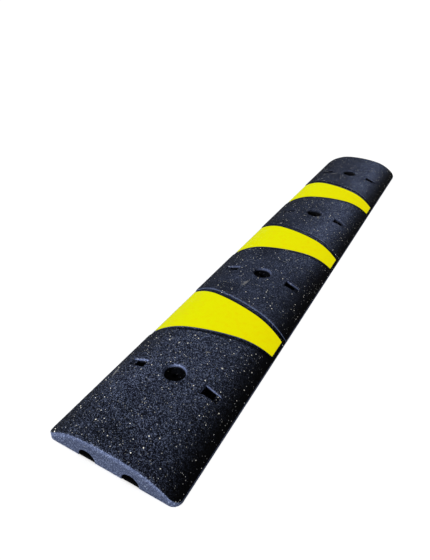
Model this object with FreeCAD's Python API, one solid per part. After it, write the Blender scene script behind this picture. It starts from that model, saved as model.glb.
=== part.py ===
import FreeCAD, Part
import math
import os

# A compression-moulded rubber speed bump with three reflective yellow tape bands.
# Units are millimetres. X runs across the bump, the way traffic goes, and Y runs along it.
# Z is up. The origin is the centre of the underside.

INCH = 25.4

# The whole body.
LENGTH = 72.0 * INCH
WIDTH = 12.0 * INCH
HEIGHT = 2.25 * INCH
LIP = 7.5
PLAN_CORNER_R = 19.0
TOP_EDGE_R = 3.0

# The crown is one shallow arc. A tighter flank arc leaves it at the same slope on each side.
CROWN_HALF_WIDTH = 60.0
CROWN_R = 480.0

# Anchor holes: four along the centre line, with half a spacing left at each end.
HOLE_COUNT = 4
HOLE_SPACING = LENGTH / HOLE_COUNT
HOLE_R = 9.0 / 32.0 * INCH
COUNTERBORE_R = 1.0 * INCH
COUNTERBORE_FLOOR_R = 23.0
COUNTERBORE_DEPTH = 0.375 * INCH
COUNTERBORE_RIM_R = 1.2

# Pockets: one on each flank beside each anchor hole, deep uphill and shallow downhill.
# In plan they narrow downhill, and they sit a little to the -Y side of the hole.
POCKET_UPHILL_X = 72.0
POCKET_STEP_X = 100.0
POCKET_DOWNHILL_X = 112.0
POCKET_DEPTH = 15.0
POCKET_STEP_DEPTH = 5.0
POCKET_RUNOUT_DEPTH = 3.0
POCKET_UPHILL_LENGTH = 26.0
POCKET_DOWNHILL_LENGTH = 19.0
POCKET_OFFSET_Y = -5.0
POCKET_CORNER_R = 2.0

# Cable channels: two arched grooves in the underside, from end to end.
CHANNEL_X = 2.0 * INCH
CHANNEL_WIDTH = 1.5 * INCH
CHANNEL_HEIGHT = 22.0
CHANNEL_WALL = 6.0
CHANNEL_MOUTH_R = 1.5

# Tape bands: wedges in plan, wide on the -X side, each centred between two anchor holes.
TAPE_NAMES = ["front_tape", "middle_tape", "rear_tape"]
TAPE_MID_LENGTH = 5.0 * INCH
TAPE_TAPER = math.tan(math.radians(13.0))
TAPE_HALF_WIDTH = 145.4
TAPE_THICKNESS = 0.9

# Each band lies on a raised land in a recess that runs out through both sides of the body.
RECESS_MARGIN = 16.0
RECESS_DEPTH = 5.0
RECESS_LIP_DROP = 3.0
LAND_MARGIN = 1.2
LAND_RISE = 1.6
LAND_LIP_RISE = 1.0

# How far a cutting solid runs past the surface that it cuts.
CLEAR = 20.0

UP = FreeCAD.Vector(0, 0, 1)
ALONG = FreeCAD.Vector(0, 1, 0)


def vec(x, z):
    """A point of the cross-section, in the plane across the body."""
    return FreeCAD.Vector(x, 0, z)


class Arch:
    """A three-centred arch: a crown arc, and a flank arc that drops to the lip on each side."""

    def __init__(self, height, lip):
        self.join_angle = math.asin(CROWN_HALF_WIDTH / CROWN_R)
        self.crown_z = height - CROWN_R
        join_z = self.crown_z + CROWN_R * math.cos(self.join_angle)
        run = WIDTH / 2 - CROWN_HALF_WIDTH
        drop = lip - join_z
        slope = run * math.sin(self.join_angle) + drop * math.cos(self.join_angle)
        self.flank_r = -(run ** 2 + drop ** 2) / (2 * slope)
        self.flank_x = CROWN_HALF_WIDTH - self.flank_r * math.sin(self.join_angle)
        self.flank_z = join_z - self.flank_r * math.cos(self.join_angle)
        self.lip_angle = math.asin((WIDTH / 2 - self.flank_x) / self.flank_r)

    def crown_point(self, angle, grow):
        """A point of the crown arc, moved out by grow along the arc's normal."""
        r = CROWN_R + grow
        return vec(r * math.sin(angle), self.crown_z + r * math.cos(angle))

    def flank_point(self, angle, side, grow):
        """A point of a flank arc, moved out by grow along the arc's normal."""
        r = self.flank_r + grow
        return vec(side * (self.flank_x + r * math.sin(angle)), self.flank_z + r * math.cos(angle))

    def surface_z(self, x):
        """The height of the flank at a distance x from the centre line."""
        return self.flank_z + math.sqrt(self.flank_r ** 2 - (abs(x) - self.flank_x) ** 2)

    def flank_edge(self, side, grow):
        """One flank arc, from the crown down to the lip."""
        middle_angle = (self.join_angle + self.lip_angle) / 2
        return Part.Arc(
            self.flank_point(self.join_angle, side, grow),
            self.flank_point(middle_angle, side, grow),
            self.flank_point(self.lip_angle, side, grow),
        ).toShape()

    def solid(self, grow=0.0):
        """The arch closed down to the ground and drawn out to the body's full length."""
        crown = Part.Arc(
            self.crown_point(-self.join_angle, grow),
            self.crown_point(0, grow),
            self.crown_point(self.join_angle, grow),
        ).toShape()
        right_lip = self.flank_point(self.lip_angle, 1, grow)
        left_lip = self.flank_point(self.lip_angle, -1, grow)
        right_foot = vec(right_lip.x, 0)
        left_foot = vec(left_lip.x, 0)
        edges = [
            Part.makeLine(left_foot, right_foot),
            Part.makeLine(right_foot, right_lip),
            self.flank_edge(1, grow),
            crown,
            self.flank_edge(-1, grow),
            Part.makeLine(left_lip, left_foot),
        ]
        face = Part.Face(Part.Wire(Part.__sortEdges__(edges)))
        face.translate(ALONG * (-LENGTH / 2))
        return face.extrude(ALONG * LENGTH)


TOP = Arch(HEIGHT, LIP)
RECESS_FLOOR = Arch(HEIGHT - RECESS_DEPTH, LIP - RECESS_LIP_DROP)
LAND = Arch(HEIGHT - RECESS_DEPTH + LAND_RISE, LIP - RECESS_LIP_DROP + LAND_LIP_RISE)


def spaced(count):
    """Evenly spaced places along the body, one hole spacing apart and centred on the origin."""
    return [HOLE_SPACING * (i - (count - 1) / 2) for i in range(count)]


def edges_where(shape, test):
    """The edges of a shape whose middle point passes a test."""
    found = []
    for edge in shape.Edges:
        middle = edge.valueAt((edge.FirstParameter + edge.LastParameter) / 2)
        if test(edge, middle):
            found.append(edge)
    return found


def is_upright(edge):
    """Whether an edge is a straight vertical line."""
    ends = [v.Point for v in edge.Vertexes]
    if len(ends) != 2:
        return False
    span = ends[1] - ends[0]
    return math.hypot(span.x, span.y) < 1e-6 and abs(span.z) > 1e-6


def plan_block():
    """An upright block with the body's plan outline, including its rounded corners."""
    block = Part.makeBox(WIDTH, LENGTH, HEIGHT + CLEAR, FreeCAD.Vector(-WIDTH / 2, -LENGTH / 2, 0))
    corners = edges_where(block, lambda edge, middle: is_upright(edge))
    return block.makeFillet(PLAN_CORNER_R, corners)


def wedge(center_y, margin, half_width):
    """An upright block with a tape band's wedge-shaped plan, grown along Y by margin."""
    corners = []
    for x, side in [(-half_width, -1), (half_width, -1), (half_width, 1), (-half_width, 1)]:
        half_length = TAPE_MID_LENGTH / 2 - TAPE_TAPER * x + margin
        corners.append(FreeCAD.Vector(x, center_y + side * half_length, -CLEAR))
    outline = Part.makePolygon(corners + corners[:1])
    return Part.Face(outline).extrude(UP * (HEIGHT + 2 * CLEAR))


def blank():
    """The body before anything is cut: the arch with rounded corners and a rounded top rim."""
    body = TOP.solid().common(plan_block())

    def on_rim(edge, middle):
        """Whether an edge bounds the arched top, and isn't a seam between its arcs."""
        seam = abs(abs(middle.x) - CROWN_HALF_WIDTH) < 0.1 and abs(middle.y) < 0.1
        return middle.z > 0.1 and not is_upright(edge) and not seam

    return body.makeFillet(TOP_EDGE_R, edges_where(body, on_rim))


def cut_tape_recess(body, center_y):
    """Sink the surface round a tape band, and leave the raised land that carries the tape."""
    recess = wedge(center_y, RECESS_MARGIN, WIDTH / 2 + CLEAR)
    land = wedge(center_y, LAND_MARGIN, TAPE_HALF_WIDTH + LAND_MARGIN)
    floor = RECESS_FLOOR.solid().fuse(LAND.solid().common(land))
    return body.cut(recess.cut(floor))


def channel(side):
    """One cable channel: low upright walls under a round roof, from end to end."""
    left = side * CHANNEL_X - CHANNEL_WIDTH / 2
    right = side * CHANNEL_X + CHANNEL_WIDTH / 2
    roof = Part.Arc(
        vec(left, CHANNEL_WALL), vec(side * CHANNEL_X, CHANNEL_HEIGHT), vec(right, CHANNEL_WALL)
    ).toShape()
    edges = [
        Part.makeLine(vec(left, -CLEAR), vec(left, CHANNEL_WALL)),
        roof,
        Part.makeLine(vec(right, CHANNEL_WALL), vec(right, -CLEAR)),
        Part.makeLine(vec(right, -CLEAR), vec(left, -CLEAR)),
    ]
    face = Part.Face(Part.Wire(Part.__sortEdges__(edges)))
    face.translate(ALONG * (-LENGTH / 2 - CLEAR))
    return face.extrude(ALONG * (LENGTH + 2 * CLEAR))


def round_channel_mouths(body):
    """Round the roof edge of each channel where it meets the two end faces."""

    def on_mouth(edge, middle):
        """Whether an edge is a channel's roof arc in an end face."""
        return abs(middle.z - CHANNEL_HEIGHT) < 0.1 and abs(abs(middle.y) - LENGTH / 2) < 0.1

    return body.makeFillet(CHANNEL_MOUTH_R, edges_where(body, on_mouth))


def anchor_hole(center_y):
    """A bolt hole down the middle of a counterbore whose wall has a little draft."""
    floor = FreeCAD.Vector(0, center_y, HEIGHT - COUNTERBORE_DEPTH)
    draft = (COUNTERBORE_R - COUNTERBORE_FLOOR_R) / COUNTERBORE_DEPTH
    depth = COUNTERBORE_DEPTH + CLEAR
    seat = Part.makeCone(COUNTERBORE_FLOOR_R, COUNTERBORE_FLOOR_R + draft * depth, depth, floor, UP)
    foot = FreeCAD.Vector(0, center_y, -CLEAR)
    return seat.fuse(Part.makeCylinder(HOLE_R, HEIGHT + CLEAR, foot, UP))


def round_counterbore_rims(body):
    """Round the top edge of each counterbore."""

    def on_rim(edge, middle):
        """Whether an edge lies on a counterbore's rim, just under the crown."""
        near = min(math.hypot(middle.x, middle.y - y) for y in spaced(HOLE_COUNT))
        return abs(near - COUNTERBORE_R) < 1 and middle.z > HEIGHT - 2

    return body.makeFillet(COUNTERBORE_RIM_R, edges_where(body, on_rim))


def pocket_plan(side, center_y):
    """An upright block with a pocket's plan: a trapezium that narrows downhill."""
    half_up = POCKET_UPHILL_LENGTH / 2
    half_down = POCKET_DOWNHILL_LENGTH / 2
    middle = center_y + POCKET_OFFSET_Y
    outline = [
        FreeCAD.Vector(side * POCKET_UPHILL_X, middle - half_up, 0),
        FreeCAD.Vector(side * POCKET_DOWNHILL_X, middle - half_down, 0),
        FreeCAD.Vector(side * POCKET_DOWNHILL_X, middle + half_down, 0),
        FreeCAD.Vector(side * POCKET_UPHILL_X, middle + half_up, 0),
    ]
    block = Part.Face(Part.makePolygon(outline + outline[:1])).extrude(UP * (HEIGHT + CLEAR))
    return block.makeFillet(POCKET_CORNER_R, edges_where(block, lambda edge, middle: is_upright(edge)))


def pocket_section(side):
    """The space over a pocket's floor, from end to end: deep uphill, then a shallow step."""
    top = HEIGHT + CLEAR
    uphill_z = TOP.surface_z(POCKET_UPHILL_X)
    step_z = TOP.surface_z(POCKET_STEP_X)
    downhill_z = TOP.surface_z(POCKET_DOWNHILL_X)
    outline = [
        vec(side * POCKET_UPHILL_X, top),
        vec(side * POCKET_UPHILL_X, uphill_z - POCKET_DEPTH),
        vec(side * POCKET_STEP_X, step_z - POCKET_DEPTH),
        vec(side * POCKET_STEP_X, step_z - POCKET_STEP_DEPTH),
        vec(side * POCKET_DOWNHILL_X, downhill_z - POCKET_RUNOUT_DEPTH),
        vec(side * POCKET_DOWNHILL_X, top),
    ]
    face = Part.Face(Part.makePolygon(outline + outline[:1]))
    face.translate(ALONG * (-LENGTH / 2))
    return face.extrude(ALONG * LENGTH)


def rubber_body():
    """The moulded body, with its recesses, channels, anchor holes and pockets."""
    body = blank()
    for side in (-1, 1):
        body = body.cut(channel(side))
    body = round_channel_mouths(body)
    for center_y in spaced(len(TAPE_NAMES)):
        body = cut_tape_recess(body, center_y)
    for center_y in spaced(HOLE_COUNT):
        body = body.cut(anchor_hole(center_y))
    body = round_counterbore_rims(body)
    for side in (-1, 1):
        section = pocket_section(side)
        for center_y in spaced(HOLE_COUNT):
            body = body.cut(section.common(pocket_plan(side, center_y)))
    return body


def tape(center_y):
    """One tape band, of even thickness, lying on its land."""
    skin = LAND.solid(TAPE_THICKNESS).cut(LAND.solid())
    return skin.common(wedge(center_y, 0, TAPE_HALF_WIDTH))


def single_solid(shape):
    """The one solid in a shape, with its needless seams removed."""
    solids = shape.removeSplitter().Solids
    if len(solids) != 1:
        raise ValueError("a piece must be one solid, and this one has %d" % len(solids))
    return solids[0]


def main():
    """Write one STEP file for each physical piece."""
    pieces = {"rubber_body": rubber_body()}
    for name, center_y in zip(TAPE_NAMES, spaced(len(TAPE_NAMES))):
        pieces[name] = tape(center_y)
    os.makedirs("parts", exist_ok=True)
    for name, shape in pieces.items():
        single_solid(shape).exportStep("parts/" + name + ".step")


main()
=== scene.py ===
import math

import bmesh
import bpy
import numpy as np
from mathutils import Matrix, Vector, noise
from mathutils.geometry import delaunay_2d_cdt


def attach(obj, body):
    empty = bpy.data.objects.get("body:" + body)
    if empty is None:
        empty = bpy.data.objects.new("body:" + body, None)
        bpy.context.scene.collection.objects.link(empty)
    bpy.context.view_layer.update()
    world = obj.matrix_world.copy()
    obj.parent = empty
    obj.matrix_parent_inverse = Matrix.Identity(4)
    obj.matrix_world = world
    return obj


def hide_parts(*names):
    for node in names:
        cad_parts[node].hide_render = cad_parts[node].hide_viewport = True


# The looks of a moulded crumb-rubber speed bump with three yellow tape bands.
# Shapes are worked out in millimetres, from the CAD model's own dimensions, and become
# metres when a mesh is made. X runs across the bump and Y along it, Z is up, and the
# origin is the centre of the underside.

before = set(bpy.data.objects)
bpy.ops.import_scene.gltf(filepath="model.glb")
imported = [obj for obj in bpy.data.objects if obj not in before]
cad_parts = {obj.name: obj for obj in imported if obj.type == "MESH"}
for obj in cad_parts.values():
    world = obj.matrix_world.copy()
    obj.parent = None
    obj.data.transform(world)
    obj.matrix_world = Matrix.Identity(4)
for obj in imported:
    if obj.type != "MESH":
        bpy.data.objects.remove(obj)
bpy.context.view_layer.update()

MM = 0.001
INCH = 25.4

# The whole body.
LENGTH = 72.0 * INCH
WIDTH = 12.0 * INCH
HEIGHT = 2.25 * INCH
LIP = 7.5
PLAN_CORNER_R = 19.0
TOP_EDGE_R = 3.0
CROWN_HALF_WIDTH = 60.0
CROWN_R = 480.0
CORNER_X = WIDTH / 2 - PLAN_CORNER_R
CORNER_Y = LENGTH / 2 - PLAN_CORNER_R

# Anchor holes: four along the centre line, each in a counterbore.
HOLE_COUNT = 4
HOLE_SPACING = LENGTH / HOLE_COUNT
HOLE_R = 9.0 / 32.0 * INCH
COUNTERBORE_R = 1.0 * INCH
COUNTERBORE_FLOOR_R = 23.0
COUNTERBORE_DEPTH = 0.375 * INCH
COUNTERBORE_RIM_R = 1.2

# Pockets: one on each flank beside each anchor hole.
POCKET_UPHILL_X = 72.0
POCKET_STEP_X = 100.0
POCKET_DOWNHILL_X = 112.0
POCKET_DEPTH = 15.0
POCKET_STEP_DEPTH = 5.0
POCKET_RUNOUT_DEPTH = 3.0
POCKET_UPHILL_LENGTH = 26.0
POCKET_DOWNHILL_LENGTH = 19.0
POCKET_OFFSET_Y = -5.0
POCKET_CORNER_R = 2.0

# Cable channels: two arched grooves in the underside.
CHANNEL_X = 2.0 * INCH
CHANNEL_WIDTH = 1.5 * INCH
CHANNEL_HEIGHT = 22.0
CHANNEL_WALL = 6.0
CHANNEL_MOUTH_R = 1.5

# Tape bands, each on a raised land in a recess across the body.
TAPE_NAMES = ["front_tape", "middle_tape", "rear_tape"]
TAPE_MID_LENGTH = 5.0 * INCH
TAPE_TAPER = math.tan(math.radians(13.0))
TAPE_HALF_WIDTH = 145.4
TAPE_THICKNESS = 0.9
RECESS_MARGIN = 16.0
RECESS_DEPTH = 5.0
RECESS_LIP_DROP = 3.0
LAND_MARGIN = 1.2
LAND_RISE = 1.6
LAND_LIP_RISE = 1.0

# Small roundings that the mould leaves on edges.
BODY_EDGE_R = 0.9
LAND_EDGE_R = 0.5
TAPE_EDGE_R = 0.35

# Into how many pieces round features are divided. A hole's flat radius is to the middle of a side.
HOLE_SIDES = 24
HOLE_FLAT_R = HOLE_R * math.cos(math.pi / HOLE_SIDES)
COUNTERBORE_SIDES = 60
COUNTERBORE_WALL_LINES = 5
COUNTERBORE_RIM_PIECES = 3
PLAN_CORNER_PIECES = 12
TOP_EDGE_PIECES = 4
POCKET_CORNER_PIECES = 3
CHANNEL_ROOF_PIECES = 14
CHANNEL_MOUTH_PIECES = 4

# Where the lines along a small rounded edge lie, as shares of its radius.
ROUNDING_LINES = (0.0, 0.3, 1.0)

# How far apart mesh points lie: in view, round a pocket, under the tape, on the underside, and up
# a wall. Loose points keep clear of lines, and points closer than the weld become one.
GRID = 3.05
POCKET_GRID = GRID * 0.8
HIDDEN_GRID = 12.0
UNDERSIDE_GRID = 15.0
WALL_STEP = 3.2
LINE_CLEARANCE = GRID * 0.6
PAST_SIDE = 1.0
WELD = 0.0005

# The crumb texture: grains a few millimetres across, rougher on the outer edges.
CRUMB_SIZE = 5.2
FINE_CRUMB_SIZE = CRUMB_SIZE * 0.45
FINE_CRUMB_SHARE = 0.4
CRUMB_DEPTH = 0.2
EDGE_CRUMB_DEPTH = 0.55

# Faces that meet at more than this angle have a sharp edge between them.
SHARP_EDGE = math.radians(50)

# The vertex attribute that tells the material how deep a point lies, for the painted shade in hollows and the
# painted light on walls.
SUNK_DEPTH = "sunk_depth"

# Pale rub marks on the rubber: place across and along, half length and half width, and how far
# the length is turned from X, in degrees.
SCUFFS = [
    (-130.0, -725.0, 28.0, 5.0, 103.0),
    (-70.0, -595.0, 10.0, 3.0, 65.0),
    (-20.0, -300.0, 22.0, 6.0, 78.0),
    (30.0, -595.0, 9.0, 3.5, 20.0),
    (20.0, 205.0, 20.0, 6.0, 110.0),
    (-60.0, 655.0, 16.0, 5.0, 30.0),
]

# Soft lighter and darker patches: place across and along, half widths across and along, and tone.
PATCHES = [
    (-100.0, -745.0, 105.0, 130.0, 1.7),
    (20.0, -620.0, 120.0, 160.0, 1.25),
    (10.0, -890.0, 120.0, 60.0, 0.75),
    (-60.0, -350.0, 60.0, 75.0, 0.6),
    (-50.0, -90.0, 65.0, 80.0, 0.65),
    (-80.0, 100.0, 50.0, 80.0, 0.7),
]
# How far a mark or patch reaches above and below its middle.
MARK_REACH = 60.0

# Where the rubber's tone changes with place or depth, in millimetres, and the tones at each end. Both flanks
# get painted shade downhill. The far half gets painted shade on the left and a painted sheen on the right.
# Outer walls get a painted highlight upwards, inner ones get painted light that fades towards +Y, and deep
# hollows get painted shade that makes them nearly black.
LEFT_FLANK = (-140.0, -50.0, 0.4, 1.0)
RIGHT_FLANK = (76.0, 148.0, 1.0, 0.03)
FAR_HALF = (-200.0, 60.0)
FAR_HALF_ACROSS = (-40.0, 105.0, 0.78, 2.2)
OUTER_WALLS = (-18.0, -6.0, 1.1, 1.85)
INNER_WALLS = (-620.0, 100.0, 2.4, 0.25)
LAST_HOLE_WALLS = (300.0, 600.0, 1.0, 0.25)
RECESS_WALLS = (125.0, 160.0, 0.6, 1.0)
INNER_DEPTHS = (-0.5, 0.5)
HOLLOW_DEPTHS = (4.5, 8.5)
HOLLOW_SHADE = 0.95

# The rubber's grains, chips and clouds: their sizes, and how they change its tone. Past the first
# band the grains stand out less.
GRAIN_SIZE = 1.6
GRAIN_SPREAD = 4.0
GRAIN_CONTRAST = 3.7
DARKEST_GRAIN_TONE = 0.11
MEAN_GRAIN_TONE = 0.85
PAST_FIRST_BAND = (-600.0, -420.0, 0.0, 0.35)
CHIP_SIZE = 4.2
CHIP_TONES = (0.82, 1.18)
CLOUD_SIZE = 70.0
CLOUD_TONES = (0.85, 1.15)
RUB_SIZE = 3.0
PORE_SIZE = 0.8

# Upright faces: how level their normal is, their own smooth tone, which is painted paler as if lit, and how
# far they take it on.
UPRIGHT_FACING = (0.55, 0.28)
UPRIGHT_TONE = 1.1
UPRIGHT_SHARE = 0.5

# Flecks: the size of the cells that hold them, the share that do, their radius in cells, and two colours. Few
# show on upright faces, and few in the hollows' painted shade.
DIM_FLECKS = (4.0, 0.28, 0.36, (0.08, 0.086, 0.10, 1), (0.26, 0.26, 0.245, 1))
BRIGHT_FLECKS = (6.5, 0.18, 0.28, (0.85, 0.86, 0.85, 1), (0.74, 0.72, 0.64, 1))
FLECK_LOSS = 0.85

# Colours of the grains, the rub marks, the tape, the floor, and the painted shadow on the floor under the
# channels.
GRAIN_COLOURS = [(0.0195, 0.0252, 0.048, 1), (0.0245, 0.0292, 0.043, 1)]
SCUFF_COLOUR = (0.15, 0.15, 0.148, 1)
TAPE_COLOURS = [(0.80, 0.83, 0.0, 1), (0.81, 0.66, 0.0, 1)]
FLOOR_COLOURS = [(0.86, 0.86, 0.86, 1), (0.88, 0.88, 0.88, 1)]
CHANNEL_SHADOW = (0.01, 0.01, 0.012, 1)

# The tape: how far its colour warms to the right and in its mottles, and its beads.
TAPE_FADE = 0.45
MOTTLE_SIZE = 14.0
MOTTLE_STRENGTH = 0.35
SHEEN_SIZE = 5.0
BEAD_SIZE = 0.8

# How far a band's surface follows the ground under it.
PRESS_DEPTH = 0.14
PRESS_SIZE = 9.0

# The floor's half width and the camera's place are in metres, and angles in degrees.
FLOOR_HALF = 60.0
FLOOR_CLOUD_SIZE = 300.0
CAMERA_PLACE = (0.3994, -1.2876, 0.7848)
CAMERA_YAW = -27.481
CAMERA_PITCH = -34.077
CAMERA_ROLL = 2.53
CAMERA_LENS = 30.17
CAMERA_CLIP_START = 0.01

# Suns: bearing from the near end, height above level, strength, and apparent width.
RUBBER_KEY = (-17.0, 17.0, 3.6 * math.pi, 16.0)
RUBBER_BACK = (172.0, 24.0, 0.2 * math.pi, 30.0)
TAPE_KEY = (0.0, 70.0, 0.8 * math.pi, 30.0)
FLOOR_KEY = (0.0, 85.0, 0.98 * math.pi, 20.0)
STUDIO_STRENGTH = 0.25

# The layers of the body's upper side, by number.
TOP, RECESS, LAND, POCKET, STEP, OPEN = range(6)


class Arch:
    """A three-centred arch: a crown arc, and a flank arc that drops to the lip on each side."""

    def __init__(self, height, lip, grow=0.0):
        self.join = math.asin(CROWN_HALF_WIDTH / CROWN_R)
        self.crown_z = height - CROWN_R
        join_z = self.crown_z + CROWN_R * math.cos(self.join)
        run = WIDTH / 2 - CROWN_HALF_WIDTH
        drop = lip - join_z
        slope = run * math.sin(self.join) + drop * math.cos(self.join)
        radius = -(run ** 2 + drop ** 2) / (2 * slope)
        self.flank_x = CROWN_HALF_WIDTH - radius * math.sin(self.join)
        self.flank_z = join_z - radius * math.cos(self.join)
        self.crown_r = CROWN_R + grow
        self.flank_r = radius + grow
        self.join_x = self.crown_r * math.sin(self.join)

    def z(self, x):
        """Height of the surface at a place across the body."""
        x = np.minimum(np.abs(x), WIDTH / 2)
        crown = self.crown_z + np.sqrt(self.crown_r ** 2 - x ** 2)
        flank = self.flank_z + np.sqrt(np.maximum(self.flank_r ** 2 - (x - self.flank_x) ** 2, 0))
        return np.where(x <= self.join_x, crown, flank)

    def slope(self, x):
        """The surface's angle below level, in radians."""
        x = np.minimum(np.abs(x), WIDTH / 2)
        crown = np.arcsin(x / self.crown_r)
        flank = np.arcsin(np.clip((x - self.flank_x) / self.flank_r, -1, 1))
        return np.where(x <= self.join_x, crown, flank)

    def unroll(self, x):
        """Distance along the surface from the centre line, with the sign of x."""
        a = np.abs(x)
        turn = np.arcsin(np.clip((a - self.flank_x) / self.flank_r, -1, 1))
        crown = self.crown_r * np.arcsin(np.minimum(a / self.crown_r, 1))
        flank = self.crown_r * self.join + self.flank_r * (turn - self.join)
        return np.sign(x) * np.where(a <= self.join_x, crown, flank)

    def roll(self, s):
        """The place across the body at a distance along the surface: the inverse of unroll."""
        a = np.abs(s)
        turn = (a - self.crown_r * self.join) / self.flank_r + self.join
        crown = self.crown_r * np.sin(a / self.crown_r)
        flank = self.flank_x + self.flank_r * np.sin(turn)
        return np.sign(s) * np.where(a <= self.crown_r * self.join, crown, flank)


LAND_HEIGHT = HEIGHT - RECESS_DEPTH + LAND_RISE
LAND_LIP = LIP - RECESS_LIP_DROP + LAND_LIP_RISE
BODY_ARCH = Arch(HEIGHT, LIP)
RECESS_ARCH = Arch(HEIGHT - RECESS_DEPTH, LIP - RECESS_LIP_DROP)
LAND_ARCH = Arch(LAND_HEIGHT, LAND_LIP)
TAPE_ARCH = Arch(LAND_HEIGHT, LAND_LIP, TAPE_THICKNESS)


# Distances in plan. Each takes arrays of x and y and works for every repeat of its feature.

def spaced(count):
    """Places along Y, one hole spacing apart and centred."""
    return [HOLE_SPACING * (i - (count - 1) / 2) for i in range(count)]


def along_from_hole(y):
    """Distance along the body from the nearest anchor hole."""
    segment = np.clip(np.floor(y / HOLE_SPACING), -HOLE_COUNT / 2, HOLE_COUNT / 2 - 1)
    return y - HOLE_SPACING * (segment + 0.5)


def along_from_tape(y):
    """Distance along the body from the middle of the nearest tape band."""
    last = (len(TAPE_NAMES) - 1) / 2
    return y - HOLE_SPACING * np.clip(np.round(y / HOLE_SPACING), -last, last)


def tape_half(x):
    """Half of a tape band's length along the body, at a place across it."""
    return TAPE_MID_LENGTH / 2 - TAPE_TAPER * x


def beyond_tape(x, y):
    """Distance along the body past a tape band's edge line."""
    return np.abs(along_from_tape(y)) - tape_half(x)


def rim_distance(x, y):
    """Distance inside the plan outline, and how far the outline faces across the body there."""
    ax, ay = np.abs(x), np.abs(y)
    dx, dy = ax - CORNER_X, ay - CORNER_Y
    r = np.maximum(np.hypot(dx, dy), 1e-9)
    corner = (dx > 0) & (dy > 0)
    side, end = WIDTH / 2 - ax, LENGTH / 2 - ay
    distance = np.where(corner, PLAN_CORNER_R - r, np.minimum(side, end))
    across = np.where(corner, dx / r, np.where(side < end, 1.0, 0.0))
    return distance, across


def hole_distance(x, y):
    """Distance from the nearest anchor hole's axis."""
    return np.hypot(x, along_from_hole(y))


def pocket_centres():
    """Centres of the four corner arcs of the pocket on the +X side, about its middle line."""
    up, down = POCKET_UPHILL_LENGTH / 2, POCKET_DOWNHILL_LENGTH / 2
    corners = [Vector(p) for p in (
        (POCKET_UPHILL_X, -up), (POCKET_DOWNHILL_X, -down), (POCKET_DOWNHILL_X, down), (POCKET_UPHILL_X, up))]
    centres = []
    for before, corner, after in zip(corners[-1:] + corners, corners, corners[1:] + corners[:1]):
        a = (before - corner).normalized()
        b = (after - corner).normalized()
        half = a.angle(b) / 2
        centres.append(corner + (a + b).normalized() * POCKET_CORNER_R / math.sin(half))
    return centres


POCKET_CENTRES = pocket_centres()


def pocket_distance(x, y):
    """Distance outside the nearest pocket's plan outline, negative inside it."""
    px, py = np.abs(x), along_from_hole(y) - POCKET_OFFSET_Y
    nearest = np.full(np.shape(x), np.inf)
    inside = np.full(np.shape(x), True)
    for a, b in zip(POCKET_CENTRES, POCKET_CENTRES[1:] + POCKET_CENTRES[:1]):
        run = b - a
        t = np.clip(((px - a.x) * run.x + (py - a.y) * run.y) / run.length_squared, 0, 1)
        nearest = np.minimum(nearest, np.hypot(px - a.x - t * run.x, py - a.y - t * run.y))
        inside &= (py - a.y) * run.x - (px - a.x) * run.y >= 0
    return np.where(inside, -nearest, nearest) - POCKET_CORNER_R


# Heights of each layer of the body's upper side. All take x and y, so that they are called alike.

def rounding(distance, radius):
    """How far a rounded edge lies below the sharp one, at a distance from it."""
    u = np.clip(distance / radius, 0, 1)
    return radius * (1 - np.sqrt(1 - (1 - u) ** 2))


def rim_reach(x, across):
    """A rim fillet's tangent length on the sloping surface, and that length in plan."""
    slope = np.arctan(np.tan(BODY_ARCH.slope(x)) * across)
    tangent = TOP_EDGE_R * np.tan((math.pi / 2 - slope) / 2)
    return tangent, tangent * np.cos(slope)


def rim_drop(x, y):
    """How far the rounded rim lies below the arch."""
    distance, across = rim_distance(x, y)
    tangent, reach = rim_reach(x, across)
    return tangent * rounding(distance / reach, 1.0)


def counterbore_drop(x, y):
    """How far a counterbore and its rounded rim lie below the crown."""
    r = hole_distance(x, y)
    share = np.clip((COUNTERBORE_R - r) / (COUNTERBORE_R - COUNTERBORE_FLOOR_R), 0, 1)
    floor = BODY_ARCH.z(x) - (HEIGHT - COUNTERBORE_DEPTH)
    rim = rounding(r - COUNTERBORE_R, COUNTERBORE_RIM_R)
    return rim + share * (floor - COUNTERBORE_RIM_R)


def top_z(x, y):
    """The arch with its rim, counterbores and rounded edges."""
    recess_wall = (beyond_tape(x, y) - RECESS_MARGIN) * math.cos(math.atan(TAPE_TAPER))
    edges = rounding(recess_wall, BODY_EDGE_R) + rounding(pocket_distance(x, y), BODY_EDGE_R)
    return BODY_ARCH.z(x) - rim_drop(x, y) - counterbore_drop(x, y) - edges


def recess_z(x, y):
    """The floor of a tape recess."""
    return RECESS_ARCH.z(x) - rim_drop(x, y)


def land_z(x, y):
    """The raised land under a tape band, with a rounded edge."""
    inside = np.minimum(LAND_MARGIN - beyond_tape(x, y), TAPE_HALF_WIDTH + LAND_MARGIN - np.abs(x))
    return LAND_ARCH.z(x) - rounding(inside, LAND_EDGE_R)


def pocket_floor(x, x_up, depth_up, x_down, depth_down):
    """A flat floor that slopes across the body between two depths."""
    z_up = BODY_ARCH.z(x_up) - depth_up
    z_down = BODY_ARCH.z(x_down) - depth_down
    return z_up + (z_down - z_up) * (np.abs(x) - x_up) / (x_down - x_up)


def pocket_z(x, y):
    """A pocket's deep uphill floor."""
    return pocket_floor(x, POCKET_UPHILL_X, POCKET_DEPTH, POCKET_STEP_X, POCKET_DEPTH)


def step_z(x, y):
    """A pocket's shallow downhill step."""
    return pocket_floor(x, POCKET_STEP_X, POCKET_STEP_DEPTH, POCKET_DOWNHILL_X, POCKET_RUNOUT_DEPTH)


def ground_z(x, y):
    """The plane that the bump stands on."""
    return 0.0 * x


LAYER_Z = {TOP: top_z, RECESS: recess_z, LAND: land_z, POCKET: pocket_z, STEP: step_z, OPEN: ground_z}


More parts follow.
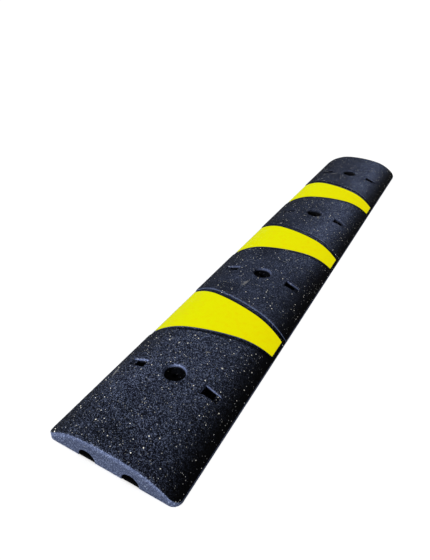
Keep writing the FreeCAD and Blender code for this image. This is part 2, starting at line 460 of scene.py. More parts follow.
def layer_of(x, y):
    """Which layer each place in plan belongs to. OPEN is off the body or in an anchor hole."""
    layer = np.full(x.shape, TOP)
    beyond = beyond_tape(x, y)
    layer[beyond < RECESS_MARGIN] = RECESS
    layer[(beyond < LAND_MARGIN) & (np.abs(x) < TAPE_HALF_WIDTH + LAND_MARGIN)] = LAND
    pocket = pocket_distance(x, y) < 0
    layer[pocket & (np.abs(x) < POCKET_STEP_X)] = POCKET
    layer[pocket & (np.abs(x) >= POCKET_STEP_X)] = STEP
    layer[hole_distance(x, y) < HOLE_FLAT_R] = OPEN
    layer[rim_distance(x, y)[0] < 0] = OPEN
    return layer


# Flat outlines, and their triangulation.

def divide(points, step, closed):
    """A polyline with its runs divided evenly into pieces no longer than step."""
    ends = points[1:] + points[:1] if closed else points[1:]
    out = []
    for p, q in zip(points, ends):
        pieces = max(1, math.ceil(math.dist(p, q) / step))
        out += [(p[0] + (q[0] - p[0]) * k / pieces, p[1] + (q[1] - p[1]) * k / pieces) for k in range(pieces)]
    return out if closed else out + [points[-1]]


def arc(cx, cy, radius, start, turn, pieces):
    """Points along an arc, both ends included. Angles are in radians."""
    angles = [start + turn * k / pieces for k in range(pieces + 1)]
    return [(cx + radius * math.cos(a), cy + radius * math.sin(a)) for a in angles]


class Plan:
    """Points and fixed lines gathered for one triangulation."""

    def __init__(self):
        self.points = []
        self.lines = []

    def line(self, points, closed=False):
        """Adds a line's points, and the fixed lines that join them."""
        base, count = len(self.points), len(points)
        self.points += points
        self.lines += [(base + i, base + (i + 1) % count) for i in range(count if closed else count - 1)]

    def fill(self, points, clearance):
        """Adds loose points, apart from those too close to a line's points."""
        cells = {}
        for p in self.points:
            cells.setdefault((int(p[0] // clearance), int(p[1] // clearance)), []).append(p)
        for x, y in points:
            i, j = int(x // clearance), int(y // clearance)
            near = [q for a in (i - 1, i, i + 1) for b in (j - 1, j, j + 1) for q in cells.get((a, b), ())]
            if all(math.dist((x, y), q) > clearance for q in near):
                self.points.append((x, y))

    def triangles(self):
        """(points, triangles) as arrays."""
        tolerance = 1e-5
        found = delaunay_2d_cdt([Vector(p) for p in self.points], self.lines, [], 0, tolerance, False)
        return np.array([tuple(v) for v in found[0]]), np.array([tuple(f) for f in found[2]])


def hexagonal(width, length, step):
    """A grid of points over a centred rectangle, with every other row half a step across."""
    rows = round(length / (step * math.sqrt(3) / 2))
    count = round(width / step)
    return [
        (width * ((i + 0.5 * (j % 2)) / count - 0.5), length * (j / rows - 0.5))
        for j in range(1, rows) for i in range(1, count)
    ]


def rim_line(share):
    """The plan outline, moved in by a share of the rim fillet's reach."""
    points = []
    for quarter in range(4):
        for k in range(PLAN_CORNER_PIECES + 1):
            a = math.pi / 2 * (quarter + k / PLAN_CORNER_PIECES)
            sx, sy = (1, -1, -1, 1)[quarter], (1, 1, -1, -1)[quarter]
            reach = float(rim_reach(CORNER_X + PLAN_CORNER_R * abs(math.cos(a)), abs(math.cos(a)))[1])
            r = PLAN_CORNER_R - share * reach
            points.append((sx * CORNER_X + r * math.cos(a), sy * CORNER_Y + r * math.sin(a)))
    return divide(points, GRID, True)


def wedge(center_y, margin, half_width):
    """A tape band's outline in plan, grown by a margin along the body."""
    corners = [(-half_width, -1), (half_width, -1), (half_width, 1), (-half_width, 1)]
    return [(x, center_y + side * (tape_half(x) + margin)) for x, side in corners]


def pocket_line(center_y, side, offset):
    """A pocket's plan outline, moved out by an offset."""
    points = []
    for centre, start, turn in zip(POCKET_CENTRES, POCKET_STARTS, POCKET_TURNS):
        points += arc(centre.x, centre.y, POCKET_CORNER_R + offset, start, turn, POCKET_CORNER_PIECES)
    return [(side * x, center_y + POCKET_OFFSET_Y + y) for x, y in divide(points, POCKET_GRID, True)]


# How far a pocket's sides lean in downhill, and where each corner's arc starts and how far it turns.
POCKET_LEAN = math.atan(
    (POCKET_UPHILL_LENGTH - POCKET_DOWNHILL_LENGTH) / 2 / (POCKET_DOWNHILL_X - POCKET_UPHILL_X))
WIDE_TURN, TIGHT_TURN = math.pi / 2 + POCKET_LEAN, math.pi / 2 - POCKET_LEAN
POCKET_STARTS = [math.pi, -TIGHT_TURN, 0.0, TIGHT_TURN]
POCKET_TURNS = [WIDE_TURN, TIGHT_TURN, TIGHT_TURN, WIDE_TURN]


def add_recess_lines(plan, center_y):
    """The edge lines of one recess and of the land in it."""
    slant = 1 / math.cos(math.atan(TAPE_TAPER))
    for share in ROUNDING_LINES:
        corners = wedge(center_y, RECESS_MARGIN + share * BODY_EDGE_R * slant, WIDTH / 2 + PAST_SIDE)
        plan.line(divide(corners[:2], GRID, False))
        plan.line(divide(corners[2:], GRID, False))
        margin = LAND_MARGIN - share * LAND_EDGE_R
        plan.line(divide(wedge(center_y, margin, TAPE_HALF_WIDTH + margin), GRID, True), True)


def add_hole_lines(plan, center_y):
    """The rings of one anchor hole and its counterbore."""
    plan.line(arc(0, center_y, HOLE_R, 0, 2 * math.pi, HOLE_SIDES)[:-1], True)
    wall = np.linspace(COUNTERBORE_FLOOR_R, COUNTERBORE_R, COUNTERBORE_WALL_LINES)
    turn = math.pi / 2 / COUNTERBORE_RIM_PIECES
    rim = [COUNTERBORE_R + COUNTERBORE_RIM_R * (1 - math.cos(turn * k))
           for k in range(1, COUNTERBORE_RIM_PIECES + 1)]
    for r in [*wall, *rim]:
        plan.line(arc(0, center_y, float(r), 0, 2 * math.pi, COUNTERBORE_SIDES)[:-1], True)


def add_pocket_lines(plan, center_y, side):
    """The edge lines of one pocket, and the line where its step begins."""
    for share in ROUNDING_LINES:
        plan.line(pocket_line(center_y, side, share * BODY_EDGE_R), True)
    half = POCKET_UPHILL_LENGTH / 2 - math.tan(POCKET_LEAN) * (POCKET_STEP_X - POCKET_UPHILL_X)
    x, y = side * POCKET_STEP_X, center_y + POCKET_OFFSET_Y
    plan.line(divide([(x, y - half), (x, y + half)], POCKET_GRID, False))


def upper_side():
    """The upper side's plan, triangulated: places x and y, triangles, and each one's layer."""
    plan = Plan()
    turn = math.pi / 2 / TOP_EDGE_PIECES
    for k in range(TOP_EDGE_PIECES + 1):
        plan.line(rim_line(1 - math.cos(turn * k)), True)
    for y in spaced(len(TAPE_NAMES)):
        add_recess_lines(plan, y)
    for y in spaced(HOLE_COUNT):
        add_hole_lines(plan, y)
        add_pocket_lines(plan, y, -1)
        add_pocket_lines(plan, y, 1)
    plan.points = [(float(BODY_ARCH.unroll(x)), y) for x, y in plan.points]
    unrolled = 2 * float(BODY_ARCH.unroll(WIDTH / 2))
    plan.fill([p for p in hexagonal(unrolled, LENGTH, GRID) if not under_tape(*p)], LINE_CLEARANCE)
    plan.fill([p for p in hexagonal(unrolled, LENGTH, HIDDEN_GRID) if under_tape(*p)], GRID)
    points, triangles = plan.triangles()
    x, y = BODY_ARCH.roll(points[:, 0]), points[:, 1]
    layer = layer_of(x[triangles].mean(1), y[triangles].mean(1))
    shown = layer != OPEN
    return x, y, triangles[shown], layer[shown]


def under_tape(s, y):
    """Whether a place on the unrolled surface is well inside a tape band."""
    x = float(BODY_ARCH.roll(s))
    return abs(x) < TAPE_HALF_WIDTH - GRID and float(beyond_tape(x, y)) < -GRID


# The body as one closed surface.

class Shell:
    """A closed surface gathered patch by patch. Patches meet point on point and are welded."""

    def __init__(self):
        self.points = []
        self.faces = []

    def add(self, points, faces):
        """Adds a patch: its points, and faces that count from its first point."""
        base = len(self.points)
        self.points += [tuple(float(c) for c in p) for p in points]
        self.faces += [tuple(base + int(i) for i in f) for f in faces]

    def strip(self, left, right):
        """Triangles between two lines of points that run the same way."""
        i, j, faces = 0, 0, []
        last_i, last_j = len(left) - 1, len(right) - 1
        while i < last_i or j < last_j:
            step_left = j == last_j or (i < last_i and (i + 1) / last_i <= (j + 1) / last_j)
            if step_left:
                faces.append((i, i + 1, len(left) + j))
                i += 1
            else:
                faces.append((i, len(left) + j + 1, len(left) + j))
                j += 1
        self.add([*left, *right], faces)

    def object(self, name):
        """The welded surface as an object in metres, with its faces turned outwards."""
        mesh = bpy.data.meshes.new(name)
        mesh.from_pydata([(x * MM, y * MM, z * MM) for x, y, z in self.points], [], self.faces)
        bm = bmesh.new()
        bm.from_mesh(mesh)
        bmesh.ops.remove_doubles(bm, verts=bm.verts, dist=WELD * MM)
        bmesh.ops.delete(bm, geom=[v for v in bm.verts if not v.link_faces], context="VERTS")
        bmesh.ops.recalc_face_normals(bm, faces=bm.faces)
        bm.to_mesh(mesh)
        bm.free()
        ob = bpy.data.objects.new(name, mesh)
        bpy.context.scene.collection.objects.link(ob)
        return ob


def layer_borders(triangles, layer):
    """Edges between two layers, as rows of point, point, layer, layer."""
    pairs = [(0, 1), (1, 2), (2, 0)]
    edges = np.concatenate([np.sort(triangles[:, p], axis=1) for p in pairs])
    layers = np.tile(layer, 3)
    order = np.lexsort((edges[:, 1], edges[:, 0]))
    edges, layers = edges[order], layers[order]
    same = np.all(edges[1:] == edges[:-1], axis=1)
    rows = []
    i = 0
    while i < len(edges):
        paired = i < len(same) and same[i]
        other = layers[i + 1] if paired else OPEN
        if other != layers[i]:
            rows.append((*edges[i], layers[i], other))
        i += 2 if paired else 1
    return rows


def on_end(x, y):
    """Whether a place is on the straight part of an end's outline."""
    tolerance = 1e-4
    return abs(y) > LENGTH / 2 - tolerance and abs(x) < CORNER_X + tolerance


def layer_height(layer, x, y):
    """One place's height in a layer, rounded so that equal heights compare equal."""
    return round(float(LAYER_Z[layer](np.array([x]), np.array([y]))[0]), 6)


def wall_columns(x, y, borders):
    """For each point on a layer border, the heights where its vertical line has points."""
    columns = {}
    for a, b, one, other in borders:
        for v in (a, b):
            columns.setdefault(v, set()).update(layer_height(k, x[v], y[v]) for k in (one, other))
    for v, heights in columns.items():
        levels = sorted(heights)
        divided = levels[:1]
        for low, high in zip(levels, levels[1:]):
            pieces = max(1, math.ceil((high - low) / WALL_STEP))
            divided += [low + (high - low) * k / pieces for k in range(1, pieces)] + [high]
        columns[v] = divided
    return columns


def add_walls(shell, x, y, borders, columns):
    """Upright walls wherever two layers meet or the body stops, apart from the two end faces."""
    for a, b, one, other in borders:
        if other == OPEN and on_end(x[a], y[a]) and on_end(x[b], y[b]):
            continue
        lines = []
        for v in (a, b):
            ends = [layer_height(k, x[v], y[v]) for k in (one, other)]
            heights = [z for z in columns[v] if min(ends) <= z <= max(ends)]
            lines.append([(x[v], y[v], z) for z in heights])
        shell.strip(*lines)


def channel_section(flare):
    """A channel's arched section, from one foot to the other, widened by a flare."""
    half, rise = CHANNEL_WIDTH / 2, CHANNEL_HEIGHT - CHANNEL_WALL
    radius = (half ** 2 + rise ** 2) / (2 * rise)
    centre_z = CHANNEL_HEIGHT - radius
    wall_x = half + flare
    join_z = centre_z + math.sqrt((radius + flare) ** 2 - wall_x ** 2)
    start = math.atan2(join_z - centre_z, wall_x)
    roof = arc(0, centre_z, radius + flare, start, math.pi - 2 * start, CHANNEL_ROOF_PIECES)
    return [(wall_x, 0), (wall_x, join_z / 2), *roof, (-wall_x, join_z / 2), (-wall_x, 0)]


def channel_stations():
    """Places along a channel, each with its flare there: the mouths are rounded."""
    mouth = [(CHANNEL_MOUTH_R * (1 - math.cos(t)), CHANNEL_MOUTH_R * (1 - math.sin(t)))
             for t in np.linspace(0, math.pi / 2, CHANNEL_MOUTH_PIECES + 1)]
    inner = LENGTH / 2 - CHANNEL_MOUTH_R
    count = round(2 * inner / HIDDEN_GRID)
    middle = [(-inner + 2 * inner * k / count, 0.0) for k in range(1, count)]
    near = [(d - LENGTH / 2, flare) for d, flare in mouth]
    far = [(LENGTH / 2 - d, flare) for d, flare in reversed(mouth)]
    return near + middle + far


def in_mouth(x, z):
    """Whether a place in an end face is inside a channel's mouth."""
    section = channel_section(CHANNEL_MOUTH_R)
    a = np.abs(np.abs(x) - CHANNEL_X)
    half = section[0][0]
    roof = np.interp(a, [p[0] for p in section[::-1]], [p[1] for p in section[::-1]])
    return (a < half) & (z < roof)


def add_channels(shell):
    """The walls and roofs of both channels, from end to end."""
    for side in (-1, 1):
        rings = [[(side * CHANNEL_X + x, y, z) for x, z in channel_section(flare)]
                 for y, flare in channel_stations()]
        for one, other in zip(rings, rings[1:]):
            shell.strip(one, other)


def mouth_feet():
    """Where the channel mouths' feet stand in an end face, from left to right."""
    foot = CHANNEL_WIDTH / 2 + CHANNEL_MOUTH_R
    return [side * CHANNEL_X + step for side in (-1, 1) for step in (-foot, foot)]


def end_bottom(xs):
    """The bottom line of an end face as its three runs, between the channel mouths."""
    feet = mouth_feet()
    gap = 0.5
    runs = []
    for low, high in zip([-CORNER_X, feet[1], feet[3]], [feet[0], feet[2], CORNER_X]):
        runs.append([low] + [x for x in xs if low + gap < x < high - gap] + [high])
    return runs


def add_end(shell, x, y, columns, end_y):
    """One end face, with its channel mouths. Returns the places across of its top line."""
    rim = [v for v in range(len(x)) if on_end(x[v], y[v]) and y[v] * end_y > 0]
    rim.sort(key=lambda v: x[v])
    xs = [float(x[v]) for v in rim]
    zs = [float(z) for z in top_z(x[rim], y[rim])]
    plan = Plan()
    plan.line(list(zip(xs, zs)))
    for v in (rim[0], rim[-1]):
        plan.line([(float(x[v]), z) for z in columns[v]])
    for run in end_bottom(xs):
        plan.line([(p, 0.0) for p in run])
    for side in (-1, 1):
        plan.line([(side * CHANNEL_X + p, z) for p, z in channel_section(CHANNEL_MOUTH_R)])
    loose = [(p, q + HEIGHT / 2) for p, q in hexagonal(2 * CORNER_X, HEIGHT, GRID)]
    inside = [(p, q) for p, q in loose if q < np.interp(p, xs, zs) and not in_mouth(p, q)]
    plan.fill(inside, LINE_CLEARANCE)
    points, triangles = plan.triangles()
    px, pz = points[triangles].mean(1).T
    solid = (pz < np.interp(px, xs, zs)) & ~in_mouth(px, pz)
    shell.add([(p, end_y, q) for p, q in points], triangles[solid])
    return xs


def add_underside(shell, x, y, borders, end_xs):
    """The flat underside, between the channels and round the anchor holes."""
    plan = Plan()
    for a, b, _, other in borders:
        if other == OPEN and not (on_end(x[a], y[a]) and on_end(x[b], y[b])):
            plan.line([(float(x[a]), float(y[a])), (float(x[b]), float(y[b]))])
    for end_y in (-LENGTH / 2, LENGTH / 2):
        for run in end_bottom(end_xs[end_y]):
            plan.line([(p, end_y) for p in run])
    foot = CHANNEL_WIDTH / 2
    for side in (-1, 1):
        for step in (-1, 1):
            plan.line([(side * CHANNEL_X + step * (foot + flare), s) for s, flare in channel_stations()])
    plan.fill(hexagonal(2 * CORNER_X, 2 * CORNER_Y, UNDERSIDE_GRID), UNDERSIDE_GRID / 2)
    points, triangles = plan.triangles()
    px, py = points[triangles].mean(1).T
    depth = LENGTH / 2 - np.abs(py)
    flare = rounding(depth, CHANNEL_MOUTH_R)
    solid = (np.abs(np.abs(px) - CHANNEL_X) > foot + flare) & (rim_distance(px, py)[0] > 0)
    solid &= hole_distance(px, py) > HOLE_FLAT_R
    shell.add([(p, q, 0.0) for p, q in points], triangles[solid])


def build_body():
    """The body: its upper side, walls, ends, channels and underside as one surface."""
    x, y, triangles, layer = upper_side()
    shell = Shell()
    for k in (TOP, RECESS, LAND, POCKET, STEP):
        faces = triangles[layer == k]
        used, faces = np.unique(faces, return_inverse=True)
        px, py = x[used], y[used]
        shell.add(np.column_stack([px, py, LAYER_Z[k](px, py)]), faces.reshape(-1, 3))
    borders = layer_borders(triangles, layer)
    columns = wall_columns(x, y, borders)
    add_walls(shell, x, y, borders, columns)
    end_xs = {end_y: add_end(shell, x, y, columns, end_y) for end_y in (-LENGTH / 2, LENGTH / 2)}
    add_channels(shell)
    add_underside(shell, x, y, borders, end_xs)
    return shell.object("crumb_rubber_body")


def vertex_array(ob, name):
    """A vector that each vertex has, as rows, scaled from metres to millimetres."""
    found = np.zeros(len(ob.data.vertices) * 3)
    ob.data.vertices.foreach_get(name, found)
    return found.reshape(-1, 3) / MM


def set_points(ob, points):
    """Moves the vertices, and keeps them in the body's own box."""
    limit = np.array([WIDTH / 2, LENGTH / 2, HEIGHT])
    ob.data.vertices.foreach_set("co", (np.clip(points, -limit, limit) * MM).ravel())
    ob.data.update()


def note_depths(ob):
    """Keeps each point's depth below the arch for the material's painted shade and light, and makes it
    negative outside.
    """
    x, y, z = vertex_array(ob, "co").T
    inside = rim_distance(x, y)[0] > CHANNEL_MOUTH_R
    depth = (BODY_ARCH.z(x) - z) * np.where(inside, 1, -1)
    sunk = ob.data.attributes.new(SUNK_DEPTH, "FLOAT", "POINT")
    sunk.data.foreach_set("value", depth)


def crumb_gap(p):
    """How deep a place lies between crumbs, from 0 to about 1."""
    gap = noise.voronoi(p / CRUMB_SIZE)[0][0]
    fine = 0.5 + 0.5 * noise.noise(p / FINE_CRUMB_SIZE)
    return (1 - FINE_CRUMB_SHARE) * gap + FINE_CRUMB_SHARE * fine


def roughen(ob):
    """Sinks points into the gaps between crumbs, most on the outer edges. The underside stays flat."""
    points = vertex_array(ob, "co")
    normals = vertex_array(ob, "normal") * MM
    edge = np.clip(1 - rim_distance(points[:, 0], points[:, 1])[0] / TOP_EDGE_R, 0, 1)
    crumb = np.array([crumb_gap(Vector(p)) for p in points])
    depth = (CRUMB_DEPTH + EDGE_CRUMB_DEPTH * edge) * crumb
    moved = points - normals * depth[:, None]
    moved[points[:, 2] < WELD, 2] = 0
    set_points(ob, moved)


def shade(ob, material, node):
    """Finishes a piece: smooth faces with sharp edges, its material, and its place in the frame."""
    ob.data.shade_smooth()
    ob.data.set_sharp_from_angle(angle=SHARP_EDGE)
    ob.data.materials.append(material)
    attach(ob, "root")
    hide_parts(node)


# The tape bands.

def tape_top_z(x, y):
    """A band's upper face, with softened edges."""
    inside = np.minimum(-beyond_tape(x, y), TAPE_HALF_WIDTH - np.abs(x))
    return TAPE_ARCH.z(x) - rounding(inside, TAPE_EDGE_R)


def build_tape(name, center_y):
    """One band: a strip bent over its land, with softened edges."""
    plan = Plan()
    for share in ROUNDING_LINES:
        inset = share * TAPE_EDGE_R
        plan.line(divide(wedge(center_y, -inset, TAPE_HALF_WIDTH - inset), GRID, True), True)
    plan.points = [(float(TAPE_ARCH.unroll(x)), y) for x, y in plan.points]
    unrolled = 2 * float(TAPE_ARCH.unroll(TAPE_HALF_WIDTH))
    loose = [(s, center_y + y) for s, y in hexagonal(unrolled, TAPE_MID_LENGTH * 2, GRID)]
    plan.fill([p for p in loose if beyond_tape(TAPE_ARCH.roll(p[0]), p[1]) < 0], LINE_CLEARANCE)
    points, triangles = plan.triangles()
    x, y = TAPE_ARCH.roll(points[:, 0]), points[:, 1]
    inside = (beyond_tape(x, y)[triangles] < WELD).all(1)
    triangles = triangles[inside]
    shell = Shell()
    shell.add(np.column_stack([x, y, tape_top_z(x, y)]), triangles)
    shell.add(np.column_stack([x, y, LAND_ARCH.z(x)]), triangles)
    for a, b, _, _ in layer_borders(triangles, np.full(len(triangles), TOP)):
        low = LAND_ARCH.z(x[[a, b]])
        high = tape_top_z(x[[a, b]], y[[a, b]])
        shell.strip(*[[(x[v], y[v], low[i]), (x[v], y[v], high[i])] for i, v in enumerate((a, b))])
    return shell.object(name)


def press(ob):
    """Lets a band's surface follow the crumb under it, very slightly."""
    points = vertex_array(ob, "co")
    points[:, 2] -= [PRESS_DEPTH * (0.5 + 0.5 * noise.noise(Vector(p) / PRESS_SIZE)) for p in points]
    set_points(ob, points)


# Materials.

class Nodes:
    """Adds nodes to one material and joins them up."""

    def __init__(self, name):
        self.material = bpy.data.materials.new(name)
        self.material.use_nodes = True
        self.tree = self.material.node_tree
        self.shader = self.tree.nodes["Principled BSDF"]
        own = self.add("ShaderNodeTexCoord").outputs
        self.place = own["Object"]
        self.facing = own["Normal"]

    def add(self, kind, **settings):
        """A new node with these settings."""
        node = self.tree.nodes.new(kind)
        for key, value in settings.items():
            setattr(node, key, value)
        return node

    def link(self, value, socket):
        """Joins an output to a socket, or sets the socket's own value."""
        if isinstance(value, bpy.types.NodeSocket):
            self.tree.links.new(value, socket)
        else:
            socket.default_value = value

    def math(self, operation, a, b=0.0, c=0.0):
        """One step of arithmetic."""
        node = self.add("ShaderNodeMath", operation=operation)
        for socket, value in zip(node.inputs, (a, b, c)):
            self.link(value, socket)
        return node.outputs[0]

    def ramp(self, value, low, high, out_low=0.0, out_high=1.0):
        """Maps a range smoothly onto another, and stops at its ends."""
        node = self.add("ShaderNodeMapRange", interpolation_type="SMOOTHSTEP")
        for socket, number in zip(node.inputs, (value, low, high, out_low, out_high)):
            self.link(number, socket)
        return node.outputs[0]

    def change(self, place, low, high, out_low=0.0, out_high=1.0):
        """A ramp along a place in the object, with its range in millimetres."""
        return self.ramp(place, low * MM, high * MM, out_low, out_high)

    def blend(self, factor, a, b):
        """Mixes two numbers."""
        node = self.add("ShaderNodeMix")
        for socket, value in zip(node.inputs, (factor, None, a, b)):
            if value is not None:
                self.link(value, socket)
        return node.outputs[0]

    def mix(self, factor, a, b, blend="MIX"):
        """Mixes two colours."""
        node = self.add("ShaderNodeMix", data_type="RGBA", blend_type=blend)
        self.link(factor, node.inputs["Factor"])
        self.link(a, node.inputs[6])
        self.link(b, node.inputs[7])
        return node.outputs[2]

    def noise(self, size, detail=2.0, roughness=0.5):
        """Cloudy noise whose features are about size millimetres across."""
        node = self.add("ShaderNodeTexNoise")
        self.link(self.place, node.inputs["Vector"])
        node.inputs["Scale"].default_value = 1 / (size * MM)
        node.inputs["Detail"].default_value = detail
        node.inputs["Roughness"].default_value = roughness
        return node.outputs["Fac"]

    def cells(self, size):
        """Cells about size millimetres across: the node itself, for its distance and colour."""
        node = self.add("ShaderNodeTexVoronoi", feature="F1")
        self.link(self.place, node.inputs["Vector"])
        node.inputs["Scale"].default_value = 1 / (size * MM)
        return node

    def grey(self, value):
        """A number as a grey colour."""
        node = self.add("ShaderNodeCombineXYZ")
        for socket in node.inputs:
            self.link(value, socket)
        return node.outputs[0]

    def split(self, value):
        """The three parts of a vector or colour."""
        node = self.add("ShaderNodeSeparateXYZ")
        self.link(value, node.inputs[0])
        return node.outputs

    def flecks(self, size, share, radius):
        """Scattered spots: 1 inside a spot. Only a share of the cells holds one."""
        cells = self.cells(size)
        chance, spread, _ = self.split(cells.outputs["Color"])
        chosen = self.math("LESS_THAN", chance, share)
        reach = self.math("MULTIPLY_ADD", spread, radius * 0.7, radius * 0.3)
        inside = self.ramp(self.math("DIVIDE", cells.outputs["Distance"], reach), 1.0, 0.6)
        return self.math("MULTIPLY", chosen, inside), spread

    def bump(self, height, distance, strength, below=None):
        """A normal tilted by a height, over another normal. The distance is in millimetres."""
        node = self.add("ShaderNodeBump")
        node.inputs["Strength"].default_value = strength
        node.inputs["Distance"].default_value = distance * MM
        self.link(height, node.inputs["Height"])
        if below is not None:
            self.link(below, node.inputs["Normal"])
        return node.outputs[0]


def rubber_material():
    """Moulded tyre crumb: dark grains with pale flecks, smoother on upright faces, with painted light and
    shade by place, facing and depth.
    """
    n = Nodes("crumb_rubber")
    grains = n.cells(GRAIN_SIZE)
    grain = n.math("POWER", n.split(grains.outputs["Color"])[0], GRAIN_SPREAD)
    # Upright faces are smoother, and painted paler as if lit.
    upright = n.ramp(n.math("ABSOLUTE", n.split(n.facing)[2]), *UPRIGHT_FACING)
    depth = n.add("ShaderNodeAttribute", attribute_name=SUNK_DEPTH).outputs["Fac"]
    # How far a point lies in a deep hollow, which gets painted shade.
    hollow = n.ramp(depth, *HOLLOW_DEPTHS)
    # Painted light and shade of place over the grain's tone, then painted shade that darkens deep hollows.
    tone = n.math("MULTIPLY", grain_tone(n, grain, upright), painted_light_and_patches(n, upright, depth))
    tone = n.math("MULTIPLY", tone, n.math("MULTIPLY_ADD", hollow, -HOLLOW_SHADE, 1.0))
    colour = n.mix(1.0, n.mix(grain, *GRAIN_COLOURS), n.grey(tone), "MULTIPLY")
    colour = add_scuffs(n, colour)
    # Flecks fade on upright faces and in the hollows' painted shade.
    shown = n.math("MULTIPLY_ADD", n.math("MAXIMUM", upright, hollow), -FLECK_LOSS, 1.0)
    colour = add_flecks(n, colour, shown, *DIM_FLECKS)
    colour = add_flecks(n, colour, shown, *BRIGHT_FLECKS)
    n.link(colour, n.shader.inputs["Base Color"])
    n.link(n.ramp(grain, 0.0, 1.0, 0.85, 1.0), n.shader.inputs["Roughness"])
    n.shader.inputs["Specular IOR Level"].default_value = 0.03
    height = n.math("SUBTRACT", 1.0, grains.outputs["Distance"])
    normal = n.bump(height, 0.9, 0.8)
    n.link(n.bump(n.noise(PORE_SIZE, 3.0), 0.3, 0.5, normal), n.shader.inputs["Normal"])
    return n.material


def grain_tone(n, grain, upright):
    """How light each grain, chip and cloud is. Upright faces come part way to a smooth tone of their own,
    painted paler as if lit.
    """
    _, y, _ = n.split(n.place)
    chip = n.split(n.cells(CHIP_SIZE).outputs["Color"])[0]
    tone = n.math("MULTIPLY_ADD", grain, GRAIN_CONTRAST, DARKEST_GRAIN_TONE)
    tone = n.blend(n.change(y, *PAST_FIRST_BAND), tone, MEAN_GRAIN_TONE)
    tone = n.math("MULTIPLY", tone, n.ramp(chip, 0.0, 1.0, *CHIP_TONES))
    tone = n.math("MULTIPLY", tone, n.ramp(n.noise(CLOUD_SIZE, 3.0), 0.3, 0.7, *CLOUD_TONES))
    return n.blend(n.math("MULTIPLY", upright, UPRIGHT_SHARE), tone, UPRIGHT_TONE)


def painted_light_and_patches(n, upright, depth):
    """The rubber's tone from place to place: painted shade that blackens the flanks, a painted sheen on the
    far half's right, paler upright faces painted as if lit, and lighter and darker patches.
    """
    x, y, _ = n.split(n.place)
    # Painted shade on both flanks and on the far half's left, and a painted sheen on its right.
    flanks = n.math("MULTIPLY", n.change(x, *LEFT_FLANK), n.change(x, *RIGHT_FLANK))
    far_tone = n.blend(n.change(y, *FAR_HALF), 1.0, n.change(x, *FAR_HALF_ACROSS))
    top = n.math("MULTIPLY", flanks, far_tone)
    for px, py, half_x, half_y, tone in PATCHES:
        top = n.math("MULTIPLY", top, n.blend(mark(n, px, py, half_x, half_y), 1.0, tone))
    # Painted light on upright walls: a highlight up the outer walls, and light on the inner walls that fades
    # along the body and past the last hole.
    outer = n.ramp(depth, *OUTER_WALLS)
    from_band = n.math("PINGPONG", y, HOLE_SPACING / 2 * MM)
    darker = n.math("MULTIPLY", n.change(y, *LAST_HOLE_WALLS), n.change(from_band, *RECESS_WALLS))
    inner = n.math("MULTIPLY", n.change(y, *INNER_WALLS), darker)
    return n.blend(upright, top, n.blend(n.ramp(depth, *INNER_DEPTHS), outer, inner))


def add_scuffs(n, colour):
    """Lays broken, pale rub marks over the rubber's colour."""
    broken = n.ramp(n.noise(RUB_SIZE, 3.0), 0.4, 0.55, 0.1, 1.0)
    for x, y, length, width, turn in SCUFFS:
        scuff = n.math("MULTIPLY", broken, mark(n, x, y, length, width, turn))
        colour = n.mix(scuff, colour, SCUFF_COLOUR)
    return colour


def add_flecks(n, colour, shown, size, share, radius, one, other):
    """Lays flecks over the rubber's colour, as far as they are shown there."""
    spots, hue = n.flecks(size, share, radius)
    return n.mix(n.math("MULTIPLY", spots, shown), colour, n.mix(hue, one, other))


def mark(n, x, y, length, width, turn=0.0):
    """A soft ellipse on the surface: 1 in its middle, and 0 from its edge."""
    node = n.add("ShaderNodeMapping", vector_type="TEXTURE")
    n.link(n.place, node.inputs["Vector"])
    node.inputs["Location"].default_value = (x * MM, y * MM, float(BODY_ARCH.z(x)) * MM)
    node.inputs["Rotation"].default_value = (0, 0, math.radians(turn))
    node.inputs["Scale"].default_value = (length * MM, width * MM, MARK_REACH * MM)
    size = n.add("ShaderNodeVectorMath", operation="LENGTH")
    n.link(node.outputs[0], size.inputs[0])
    return n.ramp(size.outputs["Value"], 1.0, 0.2)


def tape_material():
    """Yellow marking tape: saturated pigment under fine glass beads, with faint orange mottling."""
    n = Nodes("yellow_marking_tape")
    across, _, _ = n.split(n.place)
    fade = n.change(across, -TAPE_HALF_WIDTH, TAPE_HALF_WIDTH, 0.0, TAPE_FADE)
    mottle = n.ramp(n.noise(MOTTLE_SIZE, 4.0, 0.6), 0.42, 0.75, 0.0, MOTTLE_STRENGTH)
    colour = n.mix(n.math("ADD", fade, mottle), *TAPE_COLOURS)
    beads = n.cells(BEAD_SIZE)
    n.link(colour, n.shader.inputs["Base Color"])
    n.shader.inputs["Specular IOR Level"].default_value = 0.02
    n.link(n.ramp(n.noise(SHEEN_SIZE), 0.3, 0.7, 0.5, 0.7), n.shader.inputs["Roughness"])
    n.link(n.bump(beads.outputs["Distance"], 0.15, 0.4), n.shader.inputs["Normal"])
    return n.material


def floor_material():
    """Pale, with painted shadow in the two strips that the bump's channels cover."""
    n = Nodes("pale_floor")
    pale = n.mix(n.noise(FLOOR_CLOUD_SIZE, 3.0), *FLOOR_COLOURS)
    x, y, _ = n.split(n.place)
    from_channel = n.math("ABSOLUTE", n.math("SUBTRACT", n.math("ABSOLUTE", x), CHANNEL_X * MM))
    beside = n.math("GREATER_THAN", from_channel, (CHANNEL_WIDTH / 2 + CHANNEL_MOUTH_R) * MM)
    beyond = n.math("GREATER_THAN", n.math("ABSOLUTE", y), (LENGTH / 2 - CHANNEL_MOUTH_R) * MM)
    clear = n.math("MAXIMUM", beside, beyond)
    n.link(n.mix(clear, CHANNEL_SHADOW, pale), n.shader.inputs["Base Color"])
    n.shader.inputs["Roughness"].default_value = 0.9
    n.shader.inputs["Specular IOR Level"].default_value = 0.1
    return n.material


# The stage: floor, light and camera.

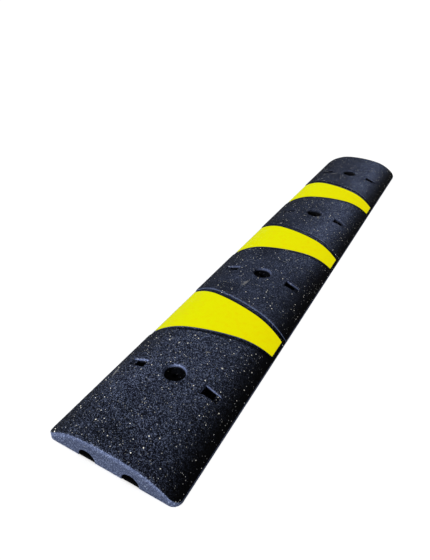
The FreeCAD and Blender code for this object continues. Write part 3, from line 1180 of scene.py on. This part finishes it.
def build_floor():
    """A wide, flat floor."""
    mesh = bpy.data.meshes.new("floor")
    corners = [(-1, -1), (1, -1), (1, 1), (-1, 1)]
    mesh.from_pydata([(x * FLOOR_HALF, y * FLOOR_HALF, 0) for x, y in corners], [], [(0, 1, 2, 3)])
    mesh.materials.append(floor_material())
    floor = bpy.data.objects.new("floor", mesh)
    bpy.context.scene.collection.objects.link(floor)
    return floor


def build_camera():
    """The camera stands above and to the right of the near end, and looks along the bump."""
    yaw, pitch, roll = [math.radians(turn) for turn in (CAMERA_YAW, CAMERA_PITCH, CAMERA_ROLL)]
    ahead = Vector((math.sin(yaw) * math.cos(pitch), math.cos(yaw) * math.cos(pitch), math.sin(pitch)))
    level = Vector((math.cos(yaw), -math.sin(yaw), 0))
    tilt = Matrix.Rotation(roll, 3, -ahead)
    right, up = tilt @ level, tilt @ level.cross(ahead)
    camera = bpy.data.objects.new("camera", bpy.data.cameras.new("camera"))
    camera.data.lens = CAMERA_LENS
    camera.data.clip_start = CAMERA_CLIP_START
    camera.matrix_world = Matrix((right, up, -ahead)).transposed().to_4x4()
    camera.location = CAMERA_PLACE
    bpy.context.scene.collection.objects.link(camera)
    bpy.context.scene.camera = camera


def group(name, *objects):
    """A collection of what a light shines on."""
    found = bpy.data.collections.new(name)
    for ob in objects:
        found.objects.link(ob)
    return found


def sun(name, lit, bearing, elevation, strength, width):
    """A wide, soft sun. Bearing 0 shines from the near end, and 90 from the right."""
    light = bpy.data.objects.new(name, bpy.data.lights.new(name, "SUN"))
    light.data.energy = strength
    light.data.angle = math.radians(width)
    a, e = math.radians(bearing), math.radians(elevation)
    source = Vector((math.sin(a) * math.cos(e), -math.cos(a) * math.cos(e), math.sin(e)))
    light.rotation_euler = source.to_track_quat("Z", "Y").to_euler()
    bpy.context.scene.collection.objects.link(light)
    light.light_linking.receiver_collection = lit


def build_world(strength):
    """An even white studio: full white where it is seen, and softer as a light."""
    world = bpy.data.worlds.new("studio")
    world.use_nodes = True
    tree = world.node_tree
    seen = tree.nodes.new("ShaderNodeLightPath").outputs["Is Camera Ray"]
    power = tree.nodes.new("ShaderNodeMapRange")
    tree.links.new(seen, power.inputs["Value"])
    power.inputs["To Min"].default_value = strength
    power.inputs["To Max"].default_value = 1.0
    background = tree.nodes["Background"]
    background.inputs["Color"].default_value = (1, 1, 1, 1)
    tree.links.new(power.outputs[0], background.inputs["Strength"])
    bpy.context.scene.world = world


body = build_body()
note_depths(body)
roughen(body)
shade(body, rubber_material(), "rubber_body")
tape_finish = tape_material()
tapes = []
for tape_name, tape_y in zip(TAPE_NAMES, spaced(len(TAPE_NAMES))):
    tape = build_tape(tape_name.replace("tape", "marking_tape"), tape_y)
    press(tape)
    shade(tape, tape_finish, tape_name)
    tapes.append(tape)

floor = build_floor()
build_camera()
build_world(STUDIO_STRENGTH)
rubber_only = group("lit_rubber", body)
tape_only = group("lit_tape", *tapes)
floor_only = group("lit_floor", floor)
sun("rubber_key", rubber_only, *RUBBER_KEY)
sun("rubber_back", rubber_only, *RUBBER_BACK)
sun("tape_key", tape_only, *TAPE_KEY)
sun("floor_key", floor_only, *FLOOR_KEY)

bpy.context.scene.view_settings.view_transform = "Standard"
